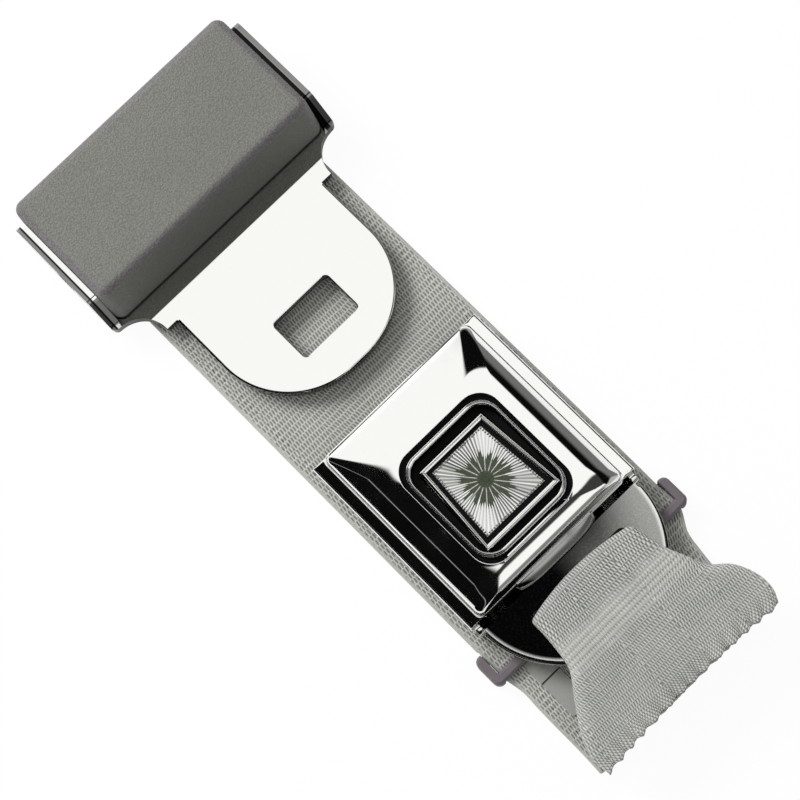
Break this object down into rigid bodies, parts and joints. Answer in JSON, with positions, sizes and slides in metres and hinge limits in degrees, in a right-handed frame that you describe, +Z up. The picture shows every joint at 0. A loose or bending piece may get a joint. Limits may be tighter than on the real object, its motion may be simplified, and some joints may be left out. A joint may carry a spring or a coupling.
{
  "type": "seat belt buckle",
  "caption": "Push-button lap belt buckle with a separate adjustable tongue, folded webbing, a sliding web keeper and a webbing stub.",
  "frame": {"origin": "on the surface the belt lies on, under the middle of the push button", "axes": "+X from the tongue to the buckle's webbing stub, along the belt; +Z up, away from the surface"},
  "size_m": [0.1651, 0.0628, 0.017],
  "materials": {
    "tongue_steel": "bright chrome plate on steel",
    "bar_steel": "knurled steel",
    "grey_moulding": "leather-grained moulding",
    "webbing": "woven polyester webbing",
    "patch_cloth": "smooth blank tape",
    "keeper_plastic": "satin moulding",
    "frame_steel": "chrome plate on steel",
    "cover_steel": "polished chrome plate",
    "guide_plastic": "black moulding",
    "inner_steel": "plain steel",
    "spring_steel": "spring wire",
    "insert_metal": "embossed bright foil with a painted centre"
  },
  "bodies": {
    "buckle": {"base_frame": "frame_steel", "cover_shell": "cover_steel", "button_guide": "guide_plastic", "latch_pin": "inner_steel", "ejector_spring_a": "spring_steel", "ejector_spring_b": "spring_steel", "stub_upper": "webbing", "stub_lower": "webbing"},
    "tongue": {"tongue_plate": "tongue_steel", "tongue_cover": "grey_moulding", "strap_standing": "webbing", "strap_loop": "webbing", "strap_tail": "webbing", "strap_patch": "patch_cloth"},
    "lock_bar": {"adjuster_bar": "bar_steel"},
    "keeper": {"web_keeper": "keeper_plastic"},
    "button": {"button_frame": "cover_steel", "button_insert": "insert_metal", "release_spring": "spring_steel"},
    "latch": {"latch_lever": "inner_steel"},
    "ejector": {"ejector": "guide_plastic"}
  },
  "joints": [
    {"name": "tongue_slide", "type": "slide", "parent": "buckle", "child": "tongue", "axis": [1, 0, 0], "range_m": [0, 0.0394]},
    {"name": "bar_slide", "type": "slide", "parent": "tongue", "child": "lock_bar", "axis": [1, 0, 0], "range_m": [0, 0.0015]},
    {"name": "keeper_slide", "type": "slide", "parent": "tongue", "child": "keeper", "axis": [1, 0, 0], "range_m": [0, 0.024]},
    {"name": "button_press", "type": "slide", "parent": "buckle", "child": "button", "axis": [0, 0, -1], "range_m": [0, 0.0019], "stiffness_N_per_m": 400, "deforming": ["release_spring"]},
    {"name": "latch_hinge", "type": "hinge", "parent": "buckle", "child": "latch", "pos_m": [0.0022, 0, 0.00815], "axis": [0, 1, 0], "range_deg": [-18.5, 0], "deforming": ["release_spring"]},
    {"name": "ejector_slide", "type": "slide", "parent": "buckle", "child": "ejector", "axis": [1, 0, 0], "range_m": [0, 0.0102], "deforming": ["ejector_spring_a", "ejector_spring_b"]}
  ],
  "couplings": [
    {"joint": "ejector_slide", "follows": "tongue_slide", "ratio": 0.25381}
  ]
}
